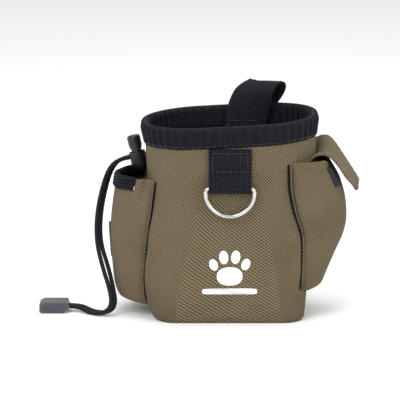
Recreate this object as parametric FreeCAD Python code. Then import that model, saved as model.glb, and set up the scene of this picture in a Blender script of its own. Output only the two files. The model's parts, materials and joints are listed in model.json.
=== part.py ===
# Treat pouch: a soft bag that stands on its base, with a stiff round mouth, two side
# pockets, a D-ring on a front tab, a webbing loop at the back and a drawcord whose two
# ends leave the left wall, pass a spring cord lock and end in a two-part clip.
#
# Frame, in millimetres: +Z up, +X to the right, the front of the bag faces -Y.
# The origin is the centre of the underside of the base.
import FreeCAD, Part
import math
import os

Vector = FreeCAD.Vector

# ---- driving dimensions -------------------------------------------------------------

# Bag body, measured on the outer face of its fabric.
base_width = 104.0
base_depth = 80.0
base_corner = 26.0
mouth_width = 118.0
mouth_depth = 94.0
mouth_corner = 40.0
rim_height = 139.0        # top of the rim above the floor, at the bag's centre
rim_tilt = 3.0            # degrees; the right side of the mouth stands higher
collar_height = 32.0      # straight stretch of wall below the rim

# Fabric, board and webbing thicknesses.
fabric = 1.2
lining_thickness = 1.5
board_thickness = 1.5
skin_gap = 0.05           # between layers that lie on each other
webbing_thickness = 1.4

# Rim.
band_height = 14.5
band_proud = 2.5          # outer face of the binding, outside the fabric
band_inner = 4.25         # inner face of the binding, inside the fabric
hoop_radius = 2.0
collar_thickness = 0.8
hem_radius = 2.2
hoop_cover = 1.0          # between the hoop and the wall's upper edge below it
bead_radius = (band_proud + band_inner) / 2
bead_inset = (band_inner - band_proud) / 2
shell_top = -band_proud - hoop_radius - hoop_cover

# D-ring and its tab.
wire_radius = 1.5
ring_inner_width = 30.0
ring_corner = 2.5
tab_width = 29.0
bar_height = 97.0
bar_clearance = 0.5
tab_bend_radius = 3.0
tab_bend_low = 3.5        # above the bar, where the tab's front layer starts to lean in
tab_bend_high = 9.5       # above the bar, where it lies on the back layer
fold_radius = wire_radius + bar_clearance + webbing_thickness / 2
tab_back_y = -mouth_depth / 2 - 0.1 - webbing_thickness / 2
bar_y = tab_back_y - fold_radius

# Rear loop.
loop_width = 30.0
loop_centre_x = 14.0
loop_top = 157.7
loop_inside_low = 118.0   # lower end of the leg sewn inside the mouth
loop_inside_gap = 4.0     # between that leg and the rim's inner face
loop_stand_off = 10.0     # outer leg behind the mouth's back face
loop_straight_low = 92.0
loop_sewn_high = 74.0
loop_sewn_low = 60.0
loop_bend_radius = 14.0
loop_wall_gap = 0.3

# Pockets: (height, outer face's distance from the bag's middle, half of the width).
left_levels = [(13, 76, 22), (27, 80.5, 28), (66, 83, 30), (97, 78.5, 30)]
right_levels = [(21, 64, 20), (42, 73.5, 26), (60, 81, 28), (76, 81.5, 28), (92, 78, 28), (108, 69, 27)]
pocket_fabric = 1.5
pocket_corner = 9.0
pocket_root = 38.0        # inside the bag, where a pocket's sections start before they are cut
pocket_band_height = 10.0
pocket_band_thickness = 1.2
slot_trim_thickness = 1.4
slot_trim_width = 2.5     # lip's width round the slot
slot_trim_wall = 1.0
slot_height = 20.0
slot_width = 7.5
slot_centre_z = 51.0

# Flap: its upper face seen from the front, from the sewn edge to the tip.
flap_profile = [(62.8, 116.5), (69.5, 117.5), (80.0, 105.0), (90.5, 90.0)]
flap_thickness = 2.0
flap_width = 56.0
patch_thickness = 1.0
patch_width = 40.0
loop_patch_length = 16.0
hook_patch_length = 15.0

# Drawcord, its eyelet, lock and end clip.
cord_radius = 1.5
cord_spacing = 3.2
eyelet_drop = 27.0        # eyelet's centre below the rim, measured down the wall
eyelet_angle = 12.0       # degrees behind the left side
eyelet_bore = 3.7
eyelet_flange = 6.0
eyelet_metal = 0.8
eyelet_hole = 4.4
lock_tilt = 10.0          # degrees; the lock's top leans away from the bag
lock_radius = 5.75
lock_standoff = 7.9
plunger_radius = 4.2
plunger_head = 4.7
plunger_travel = 3.5
fit_gap = 0.1
spring_wire = 0.5
spring_radius = 2.6
spring_turns = 4
clip_length = 21.0
clip_width = 14.0
clip_height = 8.0
clip_mouth = Vector(-112, -6, 4)
clip_bore_depth = 9.0
clip_bevel = 1.5
clip_far_slope = 3.0
clip_mouth_slope = 4.5
grip_height = 2 * cord_radius + 0.3
grip_width = cord_spacing + 2 * cord_radius + 0.3
barrel_top = 3.2          # heights along the lock's axis, from the cords
barrel_floor = -9.6
barrel_bottom = -11.2
plunger_bottom = -4.0
head_bottom = barrel_top + plunger_travel + 0.3
head_top = 15.0
head_round = 2.0

# Centre lines of the two free strands: after the lock's face, to inside the clip.
strand_a_route = [
    Vector(-77.2, 18.4, 104.4),
    Vector(-84.4, 17.2, 98.6),
    Vector(-89.4, 11.6, 85.0),
    Vector(-93.0, 3.6, 67.0),
    Vector(-92.8, -5.4, 49.5),
    Vector(-88.2, -14.2, 33.4),
    Vector(-83.4, -20.2, 20.2),
    Vector(-81.6, -23.0, 10.0),
    Vector(-84.8, -22.8, 4.2),
    Vector(-91.4, -19.8, 1.6),
    Vector(-98.8, -14.8, 1.8),
    Vector(-106.6, -7.6, 4.0),
    Vector(-114.6, -7.6, 4.0),
]
strand_b_route = [
    Vector(-76.5, 21.6, 104.5),
    Vector(-83.0, 20.4, 97.0),
    Vector(-87.2, 14.4, 83.4),
    Vector(-90.4, 5.8, 66.2),
    Vector(-90.2, -3.0, 48.9),
    Vector(-84.2, -11.4, 32.6),
    Vector(-80.7, -17.2, 19.4),
    Vector(-79.0, -20.2, 9.6),
    Vector(-82.2, -19.8, 3.8),
    Vector(-88.9, -16.8, 1.6),
    Vector(-96.4, -11.8, 1.8),
    Vector(-104.2, -4.4, 4.0),
    Vector(-114.0, -4.4, 4.0),
]

# ---- frames -------------------------------------------------------------------------

rim_turn = FreeCAD.Rotation(Vector(0, 1, 0), -rim_tilt)
rim_frame = FreeCAD.Placement(Vector(0, 0, rim_height), rim_turn)
wall_stack = fabric + skin_gap + lining_thickness
beyond = 400.0            # longer than the whole bag, for cutting
through_wall = 10.0       # deeper than the wall, for drilling
through_lock = 20.0       # wider than the lock and the slot, for cutting across them


def to_rim_frame(shape):
    """Move a shape made about the rim's centre, with the rim's top at 0, into place."""
    shape.Placement = rim_frame.multiply(shape.Placement)
    return shape


# ---- basic shapes -------------------------------------------------------------------

def rounded_outline(width, depth, radius, height=0.0):
    """Closed wire: a rectangle with round corners, centred on the Z axis."""
    x = width / 2
    y = depth / 2
    flat_x = x - radius
    flat_y = y - radius
    turn = radius * (1 - math.sqrt(0.5))
    near_x = x - turn
    near_y = y - turn
    corners = [
        (Vector(flat_x, -y, height), Vector(near_x, -near_y, height), Vector(x, -flat_y, height)),
        (Vector(x, flat_y, height), Vector(near_x, near_y, height), Vector(flat_x, y, height)),
        (Vector(-flat_x, y, height), Vector(-near_x, near_y, height), Vector(-x, flat_y, height)),
        (Vector(-x, -flat_y, height), Vector(-near_x, -near_y, height), Vector(-flat_x, -y, height)),
    ]
    edges = []
    for (first, middle, last), (following, _, _) in zip(corners, corners[1:] + corners[:1]):
        edges.append(Part.Arc(first, middle, last).toShape())
        edges.append(Part.LineSegment(last, following).toShape())
    return Part.Wire(edges)


def mouth_outline(inset, height=0.0):
    return rounded_outline(mouth_width - 2 * inset, mouth_depth - 2 * inset, mouth_corner - inset, height)


def body_core(inset):
    """Solid bag from floor to rim: tapered below, straight in the collar below the rim."""
    foot = rounded_outline(base_width - 2 * inset, base_depth - 2 * inset, base_corner - inset)
    shoulder = mouth_outline(inset, -collar_height)
    shoulder.Placement = rim_frame
    collar = Part.Face(shoulder).extrude(rim_turn.multVec(Vector(0, 0, collar_height)))
    return Part.makeLoft([foot, shoulder], True, True).fuse(collar).removeSplitter()


def slab(low, high):
    return Part.makeBox(beyond, beyond, high - low, Vector(-beyond / 2, -beyond / 2, low))


def rim_slab(low, high):
    return to_rim_frame(slab(low, high))


def rim_ring(outer_inset, inner_inset, low, high):
    """Band that follows the mouth, between two insets and two heights below the rim."""
    outer = Part.Face(mouth_outline(outer_inset, low)).extrude(Vector(0, 0, high - low))
    inner = Part.Face(mouth_outline(inner_inset, low)).extrude(Vector(0, 0, high - low))
    return to_rim_frame(outer.cut(inner))


def rim_pipe(inset, height, radius):
    """Round bar that follows the mouth at one inset and height."""
    path = mouth_outline(inset, height)
    start = Vector(mouth_width / 2 - mouth_corner, inset - mouth_depth / 2, height)
    circle = Part.Wire(Part.makeCircle(radius, start, Vector(1, 0, 0)))
    return to_rim_frame(path.makePipeShell([circle], True, False))


def tangent_path(points):
    """Wire of straight runs joined by tangent arcs, and the arcs' radii."""
    edges = []
    radii = []
    start = points[0]
    for before, corner, after in zip(points, points[1:], points[2:]):
        back = (before - corner).normalize()
        onward = (after - corner).normalize()
        turn = math.pi - back.getAngle(onward)
        tangent = 0.45 * min((corner - before).Length, (after - corner).Length)
        radius = tangent / math.tan(turn / 2)
        first = corner + back * tangent
        last = corner + onward * tangent
        inward = (back + onward).normalize()
        middle = corner + inward * (radius / math.cos(turn / 2) - radius)
        edges.append(Part.LineSegment(start, first).toShape())
        edges.append(Part.Arc(first, middle, last).toShape())
        radii.append(radius)
        start = last
    edges.append(Part.LineSegment(start, points[-1]).toShape())
    return Part.Wire(edges), radii


def tube(points, radius):
    """Round cord along a tangent path, and the path's radii and length."""
    path, radii = tangent_path(points)
    circle = Part.Wire(Part.makeCircle(radius, points[0], points[1] - points[0]))
    return path.makePipeShell([circle], True, False), radii, path.Length


def strap_path(points, radii):
    """Planar wire in YZ, with an arc of its own radius at each inner corner."""
    edges = []
    start = points[0]
    for before, corner, after, radius in zip(points, points[1:], points[2:], radii):
        back = (before - corner).normalize()
        onward = (after - corner).normalize()
        turn = math.pi - back.getAngle(onward)
        tangent = radius * math.tan(turn / 2)
        first = corner + back * tangent
        last = corner + onward * tangent
        inward = (back + onward).normalize()
        middle = corner + inward * (radius / math.cos(turn / 2) - radius)
        if (first - start).Length > 1e-6:
            edges.append(Part.LineSegment(start, first).toShape())
        edges.append(Part.Arc(first, middle, last).toShape())
        start = last
    edges.append(Part.LineSegment(start, points[-1]).toShape())
    return Part.Wire(edges)


def strap(points, radii, width, thickness, centre_x):
    """Flat webbing of one width along a path in a plane of constant X."""
    path = strap_path([Vector(centre_x, y, z) for y, z in points], radii)
    across = Vector(1, 0, 0)
    heading = path.Edges[0].tangentAt(path.Edges[0].FirstParameter)
    through = heading.cross(across).normalize()
    start = Vector(centre_x, *points[0])
    corners = [
        start - across * width / 2 - through * thickness / 2,
        start + across * width / 2 - through * thickness / 2,
        start + across * width / 2 + through * thickness / 2,
        start - across * width / 2 + through * thickness / 2,
    ]
    sweep = Part.BRepOffsetAPI.MakePipeShell(path)
    sweep.setBiNormalMode(across)
    sweep.add(Part.makePolygon(corners + [corners[0]]))
    sweep.build()
    sweep.makeSolid()
    return sweep.shape()


def polygon_prism(points, depth, centre_y=0.0):
    """Prism of an outline drawn in XZ, of a given depth along Y."""
    outline = [Vector(x, centre_y - depth / 2, z) for x, z in points]
    face = Part.Face(Part.makePolygon(outline + [outline[0]]))
    return face.extrude(Vector(0, depth, 0))


# ---- bag ----------------------------------------------------------------------------

def eyelet_frame():
    """Eyelet's centre on the outer face, the way out of the wall and the way along it."""
    angle = math.radians(eyelet_angle)
    outward = Vector(-math.cos(angle), math.sin(angle), 0)
    along = Vector(math.sin(angle), math.cos(angle), 0)
    corner = Vector(-(mouth_width / 2 - mouth_corner), mouth_depth / 2 - mouth_corner, -eyelet_drop)
    centre = rim_frame.multVec(corner + outward * mouth_corner)
    return centre, rim_turn.multVec(outward), rim_turn.multVec(along)


def eyelet_cylinder(radius, outer, inner):
    """Round plug on the eyelet's axis, from outside the fabric to inside it."""
    centre, outward, along = eyelet_frame()
    return Part.makeCylinder(radius, outer + inner, centre + outward * outer, outward * -1)


def base_panel():
    return body_core(0).common(slab(0, fabric))


def body_shell():
    wall = body_core(0).cut(body_core(fabric))
    wall = wall.cut(slab(-fabric, fabric)).cut(rim_slab(shell_top, beyond))
    return wall.cut(eyelet_cylinder(eyelet_hole, through_wall, through_wall))


def base_stiffener():
    low = fabric + skin_gap
    return body_core(fabric + 4 * skin_gap).common(slab(low, low + board_thickness))


def lining():
    low = fabric + board_thickness + 2 * skin_gap
    outer = body_core(fabric + skin_gap).cut(slab(-low, low)).cut(rim_slab(shell_top, beyond))
    inner = body_core(wall_stack).cut(slab(-low, low + lining_thickness))
    return outer.cut(inner).cut(eyelet_cylinder(eyelet_hole, through_wall, through_wall))


def rim_hoop():
    return rim_pipe(bead_inset, -bead_radius, hoop_radius)


def rim_binding():
    legs = rim_ring(-band_proud, band_inner, -band_height, -bead_radius)
    bead = rim_pipe(bead_inset, -bead_radius, bead_radius)
    slot = rim_ring(-skin_gap, wall_stack + skin_gap, -band_height, shell_top + skin_gap)
    groove = rim_pipe(bead_inset, -bead_radius, hoop_radius + skin_gap)
    return legs.fuse(bead).cut(slot).cut(groove)


def closure_collar():
    skirt_inset = band_inner + skin_gap
    hem_inset = skirt_inset + hem_radius
    skirt = rim_ring(skirt_inset, skirt_inset + collar_thickness, -eyelet_drop, -bead_radius)
    hem = rim_pipe(hem_inset, -eyelet_drop, hem_radius)
    tunnel = rim_pipe(hem_inset, -eyelet_drop, cord_radius + fit_gap)
    way_out = eyelet_cylinder(eyelet_bore, 0, hem_inset + cord_radius)
    return skirt.fuse(hem).cut(tunnel).cut(way_out)


def cord_eyelet():
    outer = eyelet_cylinder(eyelet_flange, through_wall, 0).common(
        body_core(-eyelet_metal - skin_gap).cut(body_core(-skin_gap)))
    inner = eyelet_cylinder(eyelet_flange, 0, through_wall).common(
        body_core(wall_stack + skin_gap).cut(body_core(wall_stack + eyelet_metal)))
    sleeve = eyelet_cylinder(eyelet_hole - skin_gap, through_wall, through_wall).common(
        body_core(-eyelet_metal - skin_gap).cut(body_core(wall_stack + eyelet_metal)))
    return outer.fuse([inner, sleeve]).cut(
        eyelet_cylinder(eyelet_bore, through_lock, through_lock))


# ---- front tab and D-ring -----------------------------------------------------------

def front_tab():
    """Webbing that comes down the wall, turns round the bar and goes up again in front."""
    top = rim_height - band_height - tab_width / 2 * math.sin(math.radians(rim_tilt)) - fit_gap
    front_y = tab_back_y - webbing_thickness - skin_gap
    outer_y = bar_y - fold_radius
    points = [
        (tab_back_y, top),
        (tab_back_y, bar_height - fold_radius),
        (outer_y, bar_height - fold_radius),
        (outer_y, bar_height + tab_bend_low),
        (front_y, bar_height + tab_bend_high),
        (front_y, top),
    ]
    tight = fold_radius - 0.001
    radii = [tight, tight, tab_bend_radius, tab_bend_radius]
    return strap(points, radii, tab_width, webbing_thickness, 0)


def d_ring():
    half = ring_inner_width / 2 + wire_radius
    shoulder = bar_height - ring_corner
    turn = ring_corner * (1 - math.sqrt(0.5))
    middle = Vector(0, bar_y, bar_height)
    right_end = Vector(half - ring_corner, bar_y, bar_height)
    left_end = Vector(ring_corner - half, bar_y, bar_height)
    right_shoulder = Vector(half, bar_y, shoulder)
    left_shoulder = Vector(-half, bar_y, shoulder)
    edges = [
        Part.LineSegment(middle, right_end),
        Part.Arc(right_end, Vector(half - turn, bar_y, bar_height - turn), right_shoulder),
        Part.Arc(right_shoulder, Vector(0, bar_y, shoulder - half), left_shoulder),
        Part.Arc(left_shoulder, Vector(turn - half, bar_y, bar_height - turn), left_end),
        Part.LineSegment(left_end, middle),
    ]
    path = Part.Wire([edge.toShape() for edge in edges])
    circle = Part.Wire(Part.makeCircle(wire_radius, Vector(0, bar_y, bar_height), Vector(1, 0, 0)))
    return path.makePipeShell([circle], True, False)


# ---- rear loop ----------------------------------------------------------------------

def rear_loop():
    """Webbing sewn inside the mouth, over the rim in a high bow and down the back."""
    inside_y = mouth_depth / 2 - band_inner - loop_inside_gap
    outside_y = mouth_depth / 2 + loop_stand_off
    bow = (outside_y - inside_y) / 2
    top = loop_top - webbing_thickness / 2
    slope = (mouth_depth - base_depth) / 2 / (rim_height - collar_height)

    def on_wall(z):
        wall_y = mouth_depth / 2 - slope * (rim_height - collar_height - z)
        return wall_y + webbing_thickness / 2 + loop_wall_gap

    points = [
        (inside_y, loop_inside_low),
        (inside_y, top),
        (outside_y, top),
        (outside_y, loop_straight_low),
        (on_wall(loop_sewn_high), loop_sewn_high),
        (on_wall(loop_sewn_low), loop_sewn_low),
    ]
    radii = [bow - 0.001, bow - 0.001, loop_bend_radius, loop_bend_radius]
    return strap(points, radii, loop_width, webbing_thickness, loop_centre_x)


# ---- pockets ------------------------------------------------------------------------

def pocket_section(side, reach, half_depth, height):
    """Wire round a pocket at one height; its two outer corners are round."""
    radius = pocket_corner
    turn = radius * (1 - math.sqrt(0.5))

    def point(x, y):
        return Vector(side * x, y, height)

    edges = [
        Part.LineSegment(point(pocket_root, -half_depth), point(reach - radius, -half_depth)),
        Part.Arc(point(reach - radius, -half_depth), point(reach - turn, -half_depth + turn),
                 point(reach, -half_depth + radius)),
        Part.LineSegment(point(reach, -half_depth + radius), point(reach, half_depth - radius)),
        Part.Arc(point(reach, half_depth - radius), point(reach - turn, half_depth - turn),
                 point(reach - radius, half_depth)),
        Part.LineSegment(point(reach - radius, half_depth), point(pocket_root, half_depth)),
        Part.LineSegment(point(pocket_root, half_depth), point(pocket_root, -half_depth)),
    ]
    return Part.Wire([edge.toShape() for edge in edges])


def pocket_block(side, levels, inset):
    sections = [pocket_section(side, reach - inset, half - inset, height) for height, reach, half in levels]
    return Part.makeLoft(sections, True, True)


def pocket(side, levels):
    """Open-topped pocket whose fourth side is the bag's own wall."""
    bottom = levels[0][0]
    outer = pocket_block(side, levels, 0)
    inner = pocket_block(side, levels, pocket_fabric).cut(slab(0, bottom + pocket_fabric))
    return outer.cut(inner).cut(body_core(-skin_gap))


def left_pocket():
    shape = pocket(-1, left_levels)
    return shape.cut(slot_plug(slot_height, slot_width))


def slot_plug(height, width, length=through_lock):
    """Upright long hole with round ends through the left pocket's outer face."""
    start_x = -left_levels[2][1] - length / 2
    middle = Part.makeBox(length, width, height - width,
                          Vector(start_x, -width / 2, slot_centre_z - (height - width) / 2))
    ends = []
    for sign in (-1, 1):
        centre = Vector(start_x, 0, slot_centre_z + sign * (height - width) / 2)
        ends.append(Part.makeCylinder(width / 2, length, centre, Vector(1, 0, 0)))
    return middle.fuse(ends)


def slot_trim():
    """Lip round the slot: a sleeve in the hole and a low rim outside."""
    outer = pocket_block(-1, left_levels, -slot_trim_thickness)
    lip_size = 2 * slot_trim_width
    lip = slot_plug(slot_height + lip_size, slot_width + lip_size).common(
        outer.cut(pocket_block(-1, left_levels, -skin_gap)))
    sleeve = slot_plug(slot_height - 2 * skin_gap, slot_width - 2 * skin_gap).common(
        outer.cut(pocket_block(-1, left_levels, pocket_fabric)))
    opening = 2 * slot_trim_wall
    return lip.fuse(sleeve).cut(slot_plug(slot_height - opening, slot_width - opening, 2 * through_lock))


def left_pocket_binding():
    """Ribbed band on the outer and rear sides of the left pocket's mouth."""
    top = left_levels[-1][0]
    band = pocket_block(-1, left_levels, -pocket_band_thickness)
    band = band.cut(pocket_block(-1, left_levels, -skin_gap))
    front_end = pocket_corner - left_levels[-1][2]
    corner = Vector(-beyond, front_end, top - pocket_band_height)
    reach = Part.makeBox(beyond, beyond, pocket_band_height, corner)
    return band.common(reach).cut(body_core(-skin_gap))


def right_pocket():
    return pocket(1, right_levels)


def slanted_patch(low, high, lift, length):
    """Flat tape between two points of a slanted face drawn in XZ, lying on that face."""
    run = Vector(high[0] - low[0], 0, high[1] - low[1])
    out = Vector(-run.z, 0, run.x).normalize()
    if out.z * lift < 0:
        out = out * -1
    middle = Vector(low[0], 0, low[1]) + run * 0.5
    along = Vector(run).normalize()
    corners = []
    for along_sign, out_length in ((-1, abs(lift)), (1, abs(lift)), (1, abs(lift) + patch_thickness),
                                   (-1, abs(lift) + patch_thickness)):
        corner = middle + along * (along_sign * length / 2) + out * out_length
        corners.append((corner.x, corner.z))
    return polygon_prism(corners, patch_width)


def pocket_loop_patch():
    """Loop tape on the slanted top of the right pocket's outer face."""
    low = (right_levels[-2][1], right_levels[-2][0])
    high = (right_levels[-1][1], right_levels[-1][0])
    return slanted_patch(low, high, skin_gap, loop_patch_length)


# ---- pocket flap --------------------------------------------------------------------

def flap_outline(thickness):
    """Upper face's points, then the lower face's points back to the sewn edge."""
    upper = [Vector(x, 0, z) for x, z in flap_profile]
    lower = []
    for index, point in enumerate(upper):
        before = upper[max(index - 1, 0)]
        after = upper[min(index + 1, len(upper) - 1)]
        run = after - before
        down = Vector(run.z, 0, -run.x).normalize()
        lower.append(point + down * thickness)
    return [(p.x, p.z) for p in upper + lower[::-1]]


def pocket_flap():
    return polygon_prism(flap_outline(flap_thickness), flap_width)


def flap_hook_patch():
    """Hook tape under the flap's outer half."""
    start = flap_profile[2]
    tip = flap_profile[3]
    return slanted_patch(start, tip, -flap_thickness - skin_gap, hook_patch_length)


# ---- cord lock ----------------------------------------------------------------------

def lock_frame():
    """Placement of the lock: its own X is the way the cords leave, its Z its long axis."""
    centre, outward, along = eyelet_frame()
    up = rim_turn.multVec(Vector(0, 0, 1))
    angle = math.radians(lock_tilt)
    way_out = outward * math.cos(angle) - up * math.sin(angle)
    axis = outward * math.sin(angle) + up * math.cos(angle)
    turn = FreeCAD.Rotation(way_out, axis.cross(way_out), axis, "ZXY")
    return FreeCAD.Placement(centre + way_out * lock_standoff, turn)


def in_lock(shape):
    shape.Placement = lock_frame().multiply(shape.Placement)
    return shape


def cord_slot(low, high, width, length):
    """Long hole for both cords, from low to high on the lock's axis, with round sides."""
    radius = (high - low) / 2
    centre_z = (high + low) / 2
    reach = width / 2 - radius
    middle = Part.makeBox(length, 2 * reach, high - low, Vector(-length / 2, -reach, low))
    sides = []
    for sign in (-1, 1):
        start = Vector(-length / 2, sign * reach, centre_z)
        sides.append(Part.makeCylinder(radius, length, start, Vector(1, 0, 0)))
    return middle.fuse(sides)


def cord_lock_barrel():
    """Sleeve with a ball end, bored from the top for the plunger and crossed by the cords."""
    body = Part.makeCylinder(lock_radius, barrel_top - barrel_bottom, Vector(0, 0, barrel_bottom))
    ball_centre = barrel_bottom + lock_radius
    ball = Part.makeSphere(lock_radius, Vector(0, 0, ball_centre))
    upper = Part.makeCylinder(lock_radius, barrel_top - ball_centre, Vector(0, 0, ball_centre))
    outer = body.common(ball.fuse(upper))
    bore_radius = plunger_radius + fit_gap
    bore_floor = plunger_bottom - plunger_travel - 2 * fit_gap
    bore = Part.makeCylinder(bore_radius, barrel_top - bore_floor, Vector(0, 0, bore_floor))
    well = Part.makeCylinder(spring_radius + 0.5, bore_floor - barrel_floor, Vector(0, 0, barrel_floor))
    hole = cord_slot(-grip_height / 2, grip_height / 2, grip_width, through_lock)
    return in_lock(outer.cut(bore).cut(well).cut(hole))


def cord_lock_plunger():
    """Stem with a tall cord slot and a rounded head above the sleeve."""
    stem = Part.makeCylinder(plunger_radius, head_bottom - plunger_bottom, Vector(0, 0, plunger_bottom))
    head = Part.makeCylinder(plunger_head, head_top - head_bottom, Vector(0, 0, head_bottom))
    head = head.makeFillet(head_round, [edge for edge in head.Edges if edge.BoundBox.ZMin > head_top - 0.01])
    low = -grip_height / 2
    high = grip_height / 2 + plunger_travel
    corner = Vector(-through_lock / 2, -grip_width / 2, low)
    slot = Part.makeBox(through_lock, grip_width, high - low, corner)
    return in_lock(stem.fuse(head).cut(slot))


def cord_lock_spring():
    low = barrel_floor + spring_wire / 2 + fit_gap
    height = plunger_bottom - barrel_floor - spring_wire - 2 * fit_gap
    helix = Part.makeHelix(height / spring_turns, height, spring_radius)
    circle = Part.Wire(Part.makeCircle(spring_wire / 2, Vector(spring_radius, 0, 0), Vector(0, 1, 0)))
    coil = Part.Wire(helix).makePipeShell([circle], True, True)
    coil.translate(Vector(0, 0, low))
    return in_lock(coil)


# ---- drawcord -----------------------------------------------------------------------

def lock_point(along_cord, across, up=0.0):
    return lock_frame().multVec(Vector(along_cord, across, up))


def drawcord_loop():
    """Cord in the collar's hem, with its two ends led through the eyelet and the lock."""
    hem_inset = band_inner + skin_gap + hem_radius
    loop = rim_pipe(hem_inset, -eyelet_drop, cord_radius)
    frame = lock_frame()
    way_out = frame.Rotation.multVec(Vector(1, 0, 0))
    length = lock_radius + lock_standoff + hem_inset
    parts = []
    for sign in (-1, 1):
        end = lock_point(lock_radius, sign * cord_spacing / 2)
        parts.append(Part.makeCylinder(cord_radius, length, end, way_out * -1))
    between = cord_spacing - 2 * cord_radius
    gap = Part.makeBox(hem_inset, between, 4 * cord_radius,
                       Vector(-lock_standoff - hem_inset - 2 * cord_radius, -between / 2, -2 * cord_radius))
    return loop.fuse(parts).cut(in_lock(gap))


def strand(route, sign):
    """One free end, from the lock's outer face to inside the clip."""
    start = lock_point(lock_radius + skin_gap, sign * cord_spacing / 2)
    shape, radii, length = tube([start] + route, cord_radius)
    ratio = shape.Volume / (math.pi * cord_radius ** 2 * length)
    print("strand length", round(length, 1), "volume ratio", round(ratio, 4))
    print("radii", [round(radius, 1) for radius in radii])
    return shape


def cord_clip_half(upper):
    """Half of the end clip: a block with a sloped mouth, grooved for both cords."""
    mouth_x = clip_mouth.x
    far_x = mouth_x - clip_length
    middle = clip_height / 2
    gap = skin_gap
    if upper:
        outline = [(far_x, middle + gap), (mouth_x, middle + gap), (mouth_x - clip_bevel, clip_height),
                   (far_x + clip_far_slope, clip_height), (far_x, clip_height - clip_bevel)]
    else:
        outline = [(far_x, middle - gap), (mouth_x, middle - gap), (mouth_x - clip_mouth_slope, 0),
                   (far_x + clip_bevel, 0), (far_x, clip_bevel)]
    block = polygon_prism(outline, clip_width, clip_mouth.y)
    for sign in (-1, 1):
        start = clip_mouth + Vector(1, sign * cord_spacing / 2, 0)
        bore = Part.makeCylinder(cord_radius + skin_gap, clip_bore_depth + 1, start, Vector(-1, 0, 0))
        block = block.cut(bore)
    return block


# ---- output -------------------------------------------------------------------------

def build():
    return {
        "base_panel": base_panel(),
        "body_shell": body_shell(),
        "base_stiffener": base_stiffener(),
        "lining": lining(),
        "rim_hoop": rim_hoop(),
        "rim_binding": rim_binding(),
        "closure_collar": closure_collar(),
        "cord_eyelet": cord_eyelet(),
        "front_tab": front_tab(),
        "d_ring": d_ring(),
        "rear_loop": rear_loop(),
        "left_pocket": left_pocket(),
        "left_pocket_binding": left_pocket_binding(),
        "slot_trim": slot_trim(),
        "right_pocket": right_pocket(),
        "pocket_loop_patch": pocket_loop_patch(),
        "pocket_flap": pocket_flap(),
        "flap_hook_patch": flap_hook_patch(),
        "cord_lock_barrel": cord_lock_barrel(),
        "cord_lock_plunger": cord_lock_plunger(),
        "cord_lock_spring": cord_lock_spring(),
        "drawcord_loop": drawcord_loop(),
        "drawcord_strand_a": strand(strand_a_route, 1),
        "drawcord_strand_b": strand(strand_b_route, -1),
        "cord_clip_upper": cord_clip_half(True),
        "cord_clip_lower": cord_clip_half(False),
    }


os.makedirs("parts", exist_ok=True)
for name, shape in build().items():
    solids = shape.Solids
    kept = solids[0] if len(solids) == 1 else Part.makeCompound(solids)
    box = kept.optimalBoundingBox()
    print("%-22s solids %d valid %s volume %8.0f  x %.1f %.1f  y %.1f %.1f  z %.1f %.1f" % (
        name, len(solids), kept.isValid(), kept.Volume,
        box.XMin, box.XMax, box.YMin, box.YMax, box.ZMin, box.ZMax))
    kept.exportStep("parts/%s.step" % name)
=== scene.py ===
import json
import math
import bmesh
import bpy
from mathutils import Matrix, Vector, noise


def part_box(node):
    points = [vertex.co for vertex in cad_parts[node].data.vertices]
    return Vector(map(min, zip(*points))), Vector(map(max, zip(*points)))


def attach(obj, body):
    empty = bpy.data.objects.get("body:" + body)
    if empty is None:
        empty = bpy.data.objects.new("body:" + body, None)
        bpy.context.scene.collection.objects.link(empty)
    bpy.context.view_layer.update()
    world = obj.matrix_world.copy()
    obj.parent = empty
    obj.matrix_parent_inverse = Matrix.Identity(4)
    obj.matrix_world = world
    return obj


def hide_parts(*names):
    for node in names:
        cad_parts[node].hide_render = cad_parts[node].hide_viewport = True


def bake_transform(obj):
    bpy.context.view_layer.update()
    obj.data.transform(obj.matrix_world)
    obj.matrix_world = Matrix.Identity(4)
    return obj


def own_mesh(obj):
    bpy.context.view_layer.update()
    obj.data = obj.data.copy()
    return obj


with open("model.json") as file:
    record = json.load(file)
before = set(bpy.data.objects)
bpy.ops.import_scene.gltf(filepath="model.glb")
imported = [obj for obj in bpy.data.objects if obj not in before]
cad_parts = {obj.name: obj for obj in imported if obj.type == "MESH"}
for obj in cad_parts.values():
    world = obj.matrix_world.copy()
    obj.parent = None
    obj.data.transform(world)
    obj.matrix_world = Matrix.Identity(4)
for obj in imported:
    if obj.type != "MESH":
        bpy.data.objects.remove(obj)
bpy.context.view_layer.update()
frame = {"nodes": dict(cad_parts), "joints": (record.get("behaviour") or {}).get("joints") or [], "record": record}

# ---- sizes: from the frame, and the bag's own driving sizes ----

mouth_half_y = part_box("body_shell")[1].y
tab_low, tab_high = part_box("front_tab")
ring_low, ring_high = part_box("d_ring")
loop_low, loop_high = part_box("rear_loop")
flap_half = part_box("pocket_flap")[1].y

base_half_x = 0.052
base_half_y = 0.040
base_corner = 0.015
mouth_half_x = 0.059
mouth_corner = 0.040
rim_height = 0.139               # the rim above the floor, at the bag's middle
rim_tilt = math.radians(3.0)     # the right side of the mouth stands higher
collar_height = 0.032            # straight stretch of wall below the rim
shoulder_shift = collar_height * math.sin(rim_tilt)
shoulder_height = rim_height - collar_height * math.cos(rim_tilt)
shoulder_share = shoulder_height / rim_height

band_drop = 0.0145               # the rim binding's lower edge, below the rim
band_proud = 0.0025              # its outer face, outside the wall's outer face
band_inner = 0.00425             # its inner face, inside the wall's outer face
bead_radius = (band_proud + band_inner) / 2
bead_inset = (band_inner - band_proud) / 2
cloth_thick = 0.0012
lining_thick = 0.0014
webbing_thick = 0.0014

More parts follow.
